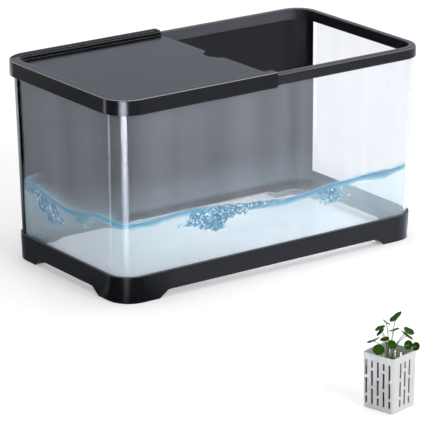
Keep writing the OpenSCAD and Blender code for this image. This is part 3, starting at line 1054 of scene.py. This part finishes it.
# Colour of the painted shade in the splash's hollows.
deep = add(tree, "ShaderNodeMix", data_type="RGBA")
deep.inputs["B"].default_value = (0.0, 0.02, 0.045, 1)
cover = add(tree, "ShaderNodeMath", operation="MULTIPLY")
cover.inputs[1].default_value = SPLASH_DENSITY
alpha = add(tree, "ShaderNodeMath", operation="ADD", use_clamp=True)
wire(tree, [
    (where, "Vector", split, "Vector"),
    (place, "Object", froth, "Vector"),
    (place, "Object", curls, "Vector"),
    (froth, "Fac", stirred, 0),
    (split, "Z", stirred, 1),
    (stirred, 0, torn, "Value"),
    (curls, "Fac", painted_glint, "Value"),
    (curls, "Fac", hollow, "Value"),
    (hollow, "Result", dark, 0),
    (torn, "Result", dark, 1),
    (painted_glint, "Result", pale, 0),
    (torn, "Result", pale, 1),
    (split, "X", blue, 0),
    (torn, "Result", blue, 1),
    (blue, 0, tint, "Factor"),
    (pale, 0, lit, "Factor"),
    (tint, "Result", lit, "A"),
    (lit, "Result", deep, "A"),
    (dark, 0, deep, "Factor"),
    (deep, "Result", shader, "Base Color"),
    (torn, "Result", cover, 0),
    (split, "Y", alpha, 0),
    (cover, 0, alpha, 1),
    (alpha, 0, shader, "Alpha"),
])
shader.inputs["Roughness"].default_value = 0.12
shader.inputs["IOR"].default_value = 1.1
print("finish", water_look.name)

# %% [markdown]
# ### The rolling surface
# A still surface would be one flat face. Here a roll as long as the tank and one half as long run from
# end to end, a chop of its own rises along the left wall, and a little noise breaks the regular lines. A
# fluid simulation could make it, but not with the crests where they are wanted, and not in a second.

# %% Rolling surface
SWELL_LENGTH = 400
SWELL_COS = 4
SWELL_SIN = 2.8
SWELL_SHORT = 2
CHOP_LENGTH = 140
CHOP_SHIFT = 70
CHOP_HEIGHT = 4.5
CHOP_DROP = 2
CHOP_REACH = 70
RIPPLE_LENGTH = 22
RIPPLE_HEIGHT = 1.5 * MM
RIPPLE_SLICE = 2.0


def in_tank(p):
    """Place of a point along and across the tank, from its middle, in millimetres."""
    return (p.x - tank_mid.x) / MM, (p.y - tank_mid.y) / MM


def swell(p):
    """Height of the rolling surface above the calm level at a point."""
    x, y = in_tank(p)
    along = math.tau * x / SWELL_LENGTH
    height = -SWELL_COS * math.cos(along) - SWELL_SIN * math.sin(along) - SWELL_SHORT * math.cos(2 * along)
    near_left = math.exp(-((x + tank_len / MM / 2) / CHOP_REACH) ** 2)
    height += near_left * (CHOP_HEIGHT * math.cos(math.tau * (y - CHOP_SHIFT) / CHOP_LENGTH) - CHOP_DROP)
    ripple = noise.noise(Vector((x / RIPPLE_LENGTH, y / RIPPLE_LENGTH, RIPPLE_SLICE)))
    return height * MM + RIPPLE_HEIGHT * ripple


crests = [swell(p) / MM for p in outline(tank_len, tank_wid, CORNER, 0)]
print("surface from", round(min(crests), 1), "to", round(max(crests), 1), "mm")

# %% Splashes
NEAR_START = 0.8
NEAR_RISE = 8
# Where the water is thrown up, in millimetres: place from the tank's middle, height above the floor, half
# length and half height. Then its strength.
SPLASHES = [
    (-192, 40, 72, 26, 14, 0.6), (-192, 70, 84, 18, 8, 0.55), (-192, 22, 62, 18, 10, 0.5),
    (-192, -32, 74, 18, 9, 0.55), (-92, -105, 76, 24, 10, 0.52), (-56, -105, 80, 38, 7, 0.55),
    (-74, -105, 65, 20, 12, 0.5), (-128, -105, 74, 20, 4, 0.45), (80, -105, 70, 26, 12, 0.62),
    (150, -105, 82, 26, 5, 0.5), (-12, -105, 76, 36, 4, 0.52),
]


def nearness(p):
    """One along the front and left sides, zero in the middle, at the rear and along the right."""
    front = (tank_mid.y - p.y) / (tank_wid / 2)
    left = (tank_mid.x - p.x) / (tank_len / 2)
    return min(1.0, max(0.0, (max(front, left) - NEAR_START) * NEAR_RISE))


def splashing(p):
    """Strength of the splashes at a point of the skin, from zero to one."""
    x, y = in_tank(p)
    total = 0
    for sx, sy, sz, long, tall, power in SPLASHES:
        aside = math.hypot(x - sx, y - sy) / long
        total += power * math.exp(-aside ** 2 - ((p.z / MM - sz) / tall) ** 2)
    return min(1.0, total)


print(len(SPLASHES), "splashes")

# %% Depths of the water
WATER_GAP = 0.4 * MM
WATER_LEVEL = 83.5 * MM - tank_low.z
BAND = 8.5 * MM
BAND_LEAST = 0.75
BAND_SWING = 0.9
BAND_PATCH = 40
BAND_SLICE = 7.0
CHURN = 32 * MM
CHURN_ROWS = 14
CHURN_TOP = WATER_LEVEL - 2 * BAND
FOOT_IN = 4.6 * MM
FOOT_ROUND = 1.5 * MM
FLOOR_DENSITY = 0.08
# Share of the height below the churned water, density there and the share of it left at the rear
LOW_ROWS = [(0.3, 0.17, 1.0), (0.8, 0.2, 0.6)]
CHURN_DENSITY = (0.21, 0.33)
CHURN_REAR = 0.6
REAR = 0.015
# Share of the band from its foot up, how blue and how dense it is there
BAND_ROWS = [(0.0, 0.1, 0.34), (0.3, 0.75, 0.85), (0.65, 1.0, 0.95), (0.9, 1.0, 0.95), (1.0, 0.6, 0.6)]
TOP_RINGS = 16
TOP_SHRINK = 0.985
TOP_BLUE = 0.1
TOP_REAR = 0.1
TOP_DENSITY = (0.1, 0.02)


def band_depth(p):
    """Depth of the blue band below the surface, deeper in some places than in others."""
    x, y = in_tank(p)
    patch = max(0.0, noise.noise(Vector((x / BAND_PATCH, y / BAND_PATCH, BAND_SLICE))))
    return BAND * (BAND_LEAST + BAND_SWING * patch)


print("water line at", round(WATER_LEVEL / MM, 1), "mm above the tank's underside")

# %% Water body
def water_ring(z, extra=0.0, follow=0.0, sunk=0.0):
    """Ring at height z that follows the swell by a share and lies sunk bands below it."""
    ring = wall_ring(z, WALL + WATER_GAP + extra)
    return [Vector((p.x, p.y, p.z + follow * swell(p) - sunk * band_depth(p))) for p in ring]


rings, shore = [], []


def add_ring(ring, blue, density, rear=REAR):
    """Adds a ring of the skin; rear is the share of its density that is left away from the near sides."""
    rings.append(ring)
    for p in ring:
        near = nearness(p)
        shore.append((blue * near, density * (rear + (1 - rear) * near), near * splashing(p)))


add_ring(water_ring(FLOOR + WATER_GAP, FOOT_IN), 0, FLOOR_DENSITY)
add_ring(water_ring(FLOOR + WATER_GAP + FOOT_ROUND, FOOT_ROUND), 0, FLOOR_DENSITY)
for share, density, rear in LOW_ROWS:
    add_ring(water_ring(FLOOR + (CHURN_TOP - CHURN - FLOOR) * share), 0, density, rear)
for k in range(CHURN_ROWS + 1):
    t = k / CHURN_ROWS
    density = CHURN_DENSITY[0] + (CHURN_DENSITY[1] - CHURN_DENSITY[0]) * t
    add_ring(water_ring(CHURN_TOP - CHURN * (1 - t), 0, t), 0, density, CHURN_REAR * (1 - t) ** 2)
for share, blue, density in BAND_ROWS:
    add_ring(water_ring(WATER_LEVEL, 0, 1, 1 - share), blue, density)
for k in range(1, TOP_RINGS + 1):
    shrink = 1 - (k / TOP_RINGS) * TOP_SHRINK
    ring = []
    for p in water_ring(WATER_LEVEL):
        q = Vector((tank_mid.x + (p.x - tank_mid.x) * shrink, tank_mid.y + (p.y - tank_mid.y) * shrink, p.z))
        ring.append(Vector((q.x, q.y, q.z + swell(q))))
    add_ring(ring, TOP_BLUE, TOP_DENSITY[0] if k == 1 else TOP_DENSITY[1], TOP_REAR)
water = loft("water", rings, water_look)
mark_points(water, "shore", shore)
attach(water, "root")
